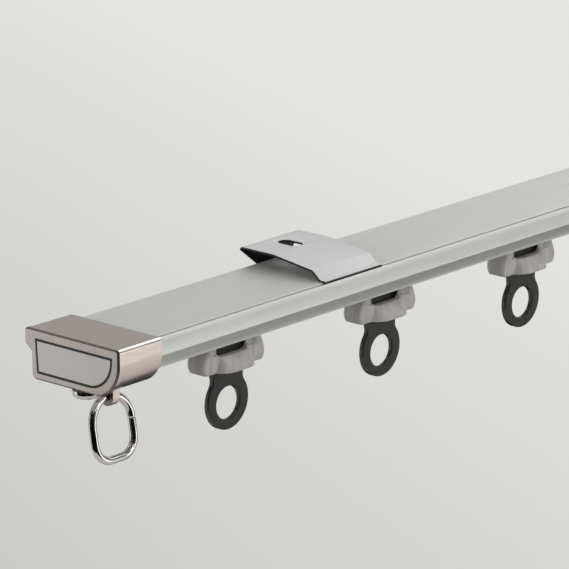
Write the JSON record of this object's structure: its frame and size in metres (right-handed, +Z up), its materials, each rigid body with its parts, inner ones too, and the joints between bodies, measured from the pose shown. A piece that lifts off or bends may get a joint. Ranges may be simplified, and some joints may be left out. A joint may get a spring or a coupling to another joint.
{
  "type": "curtain track",
  "caption": "Ceiling curtain track: slotted aluminium rail with cast end caps, sprung clips on top and wheeled gliders whose dark eyed plates hang below it.",
  "frame": {"origin": "on the ceiling plane, at the middle of the track's length, above its slot", "axes": "+X along the track, +Y towards the wall, -Y towards the room, +Z up into the ceiling"},
  "size_m": [0.3784, 0.0344, 0.0431],
  "materials": {
    "anodised_aluminium": "satin anodised",
    "cast_cap": "brushed satin plating",
    "polished_screw": "polished",
    "bright_wire": "polished",
    "white_steel": "semi-gloss white paint",
    "clear_plastic": "translucent moulded",
    "dark_steel": "dark coated, satin",
    "axle_steel": "satin",
    "wheel_plastic": "smooth"
  },
  "bodies": {
    "track": {"rail": "anodised_aluminium", "left_end_cap": "cast_cap", "right_end_cap": "cast_cap", "left_cap_screw": "polished_screw", "right_cap_screw": "polished_screw", "left_clip": "white_steel", "right_clip": "white_steel"},
    "left_ring": {"left_end_ring": "bright_wire"},
    "right_ring": {"right_end_ring": "bright_wire"},
    "glider_1": {"glider_1_sleeve": "clear_plastic", "glider_1_hanger": "dark_steel", "glider_1_axle": "axle_steel"},
    "glider_1_room_wheel": {"glider_1_room_wheel": "wheel_plastic"},
    "glider_1_wall_wheel": {"glider_1_wall_wheel": "wheel_plastic"},
    "glider_2": {"glider_2_sleeve": "clear_plastic", "glider_2_hanger": "dark_steel", "glider_2_axle": "axle_steel"},
    "glider_2_room_wheel": {"glider_2_room_wheel": "wheel_plastic"},
    "glider_2_wall_wheel": {"glider_2_wall_wheel": "wheel_plastic"},
    "glider_3": {"glider_3_sleeve": "clear_plastic", "glider_3_hanger": "dark_steel", "glider_3_axle": "axle_steel"},
    "glider_3_room_wheel": {"glider_3_room_wheel": "wheel_plastic"},
    "glider_3_wall_wheel": {"glider_3_wall_wheel": "wheel_plastic"},
    "glider_4": {"glider_4_sleeve": "clear_plastic", "glider_4_hanger": "dark_steel", "glider_4_axle": "axle_steel"},
    "glider_4_room_wheel": {"glider_4_room_wheel": "wheel_plastic"},
    "glider_4_wall_wheel": {"glider_4_wall_wheel": "wheel_plastic"},
    "glider_5": {"glider_5_sleeve": "clear_plastic", "glider_5_hanger": "dark_steel", "glider_5_axle": "axle_steel"},
    "glider_5_room_wheel": {"glider_5_room_wheel": "wheel_plastic"},
    "glider_5_wall_wheel": {"glider_5_wall_wheel": "wheel_plastic"}
  },
  "joints": [
    {"name": "left_ring_swing", "type": "hinge", "parent": "track", "child": "left_ring", "pos_m": [-0.17475, 0, -0.0227], "axis": [1, 0, 0], "range_deg": [-70, 90]},
    {"name": "right_ring_swing", "type": "hinge", "parent": "track", "child": "right_ring", "pos_m": [0.17475, 0, -0.0227], "axis": [1, 0, 0], "range_deg": [-70, 90]},
    {"name": "glider_1_slide", "type": "slide", "parent": "track", "child": "glider_1", "axis": [1, 0, 0], "range_m": [-0.02, 0.02]},
    {"name": "glider_1_room_wheel_spin", "type": "hinge", "parent": "glider_1", "child": "glider_1_room_wheel", "pos_m": [-0.1292, 0, -0.0094], "axis": [0, 1, 0], "continuous": true},
    {"name": "glider_1_wall_wheel_spin", "type": "hinge", "parent": "glider_1", "child": "glider_1_wall_wheel", "pos_m": [-0.1292, 0, -0.0094], "axis": [0, 1, 0], "continuous": true},
    {"name": "glider_2_slide", "type": "slide", "parent": "track", "child": "glider_2", "axis": [1, 0, 0], "range_m": [-0.02, 0.02]},
    {"name": "glider_2_room_wheel_spin", "type": "hinge", "parent": "glider_2", "child": "glider_2_room_wheel", "pos_m": [-0.0646, 0, -0.0094], "axis": [0, 1, 0], "continuous": true},
    {"name": "glider_2_wall_wheel_spin", "type": "hinge", "parent": "glider_2", "child": "glider_2_wall_wheel", "pos_m": [-0.0646, 0, -0.0094], "axis": [0, 1, 0], "continuous": true},
    {"name": "glider_3_slide", "type": "slide", "parent": "track", "child": "glider_3", "axis": [1, 0, 0], "range_m": [-0.02, 0.02]},
    {"name": "glider_3_room_wheel_spin", "type": "hinge", "parent": "glider_3", "child": "glider_3_room_wheel", "pos_m": [0, 0, -0.0094], "axis": [0, 1, 0], "continuous": true},
    {"name": "glider_3_wall_wheel_spin", "type": "hinge", "parent": "glider_3", "child": "glider_3_wall_wheel", "pos_m": [0, 0, -0.0094], "axis": [0, 1, 0], "continuous": true},
    {"name": "glider_4_slide", "type": "slide", "parent": "track", "child": "glider_4", "axis": [1, 0, 0], "range_m": [-0.02, 0.02]},
    {"name": "glider_4_room_wheel_spin", "type": "hinge", "parent": "glider_4", "child": "glider_4_room_wheel", "pos_m": [0.0646, 0, -0.0094], "axis": [0, 1, 0], "continuous": true},
    {"name": "glider_4_wall_wheel_spin", "type": "hinge", "parent": "glider_4", "child": "glider_4_wall_wheel", "pos_m": [0.0646, 0, -0.0094], "axis": [0, 1, 0], "continuous": true},
    {"name": "glider_5_slide", "type": "slide", "parent": "track", "child": "glider_5", "axis": [1, 0, 0], "range_m": [-0.02, 0.02]},
    {"name": "glider_5_room_wheel_spin", "type": "hinge", "parent": "glider_5", "child": "glider_5_room_wheel", "pos_m": [0.1292, 0, -0.0094], "axis": [0, 1, 0], "continuous": true},
    {"name": "glider_5_wall_wheel_spin", "type": "hinge", "parent": "glider_5", "child": "glider_5_wall_wheel", "pos_m": [0.1292, 0, -0.0094], "axis": [0, 1, 0], "continuous": true}
  ],
  "couplings": [
    {"joint": "glider_1_room_wheel_spin", "follows": "glider_1_slide", "rad_per_m": 338.98},
    {"joint": "glider_1_wall_wheel_spin", "follows": "glider_1_slide", "rad_per_m": 338.98},
    {"joint": "glider_2_room_wheel_spin", "follows": "glider_2_slide", "rad_per_m": 338.98},
    {"joint": "glider_2_wall_wheel_spin", "follows": "glider_2_slide", "rad_per_m": 338.98},
    {"joint": "glider_3_room_wheel_spin", "follows": "glider_3_slide", "rad_per_m": 338.98},
    {"joint": "glider_3_wall_wheel_spin", "follows": "glider_3_slide", "rad_per_m": 338.98},
    {"joint": "glider_4_room_wheel_spin", "follows": "glider_4_slide", "rad_per_m": 338.98},
    {"joint": "glider_4_wall_wheel_spin", "follows": "glider_4_slide", "rad_per_m": 338.98},
    {"joint": "glider_5_room_wheel_spin", "follows": "glider_5_slide", "rad_per_m": 338.98},
    {"joint": "glider_5_wall_wheel_spin", "follows": "glider_5_slide", "rad_per_m": 338.98}
  ]
}
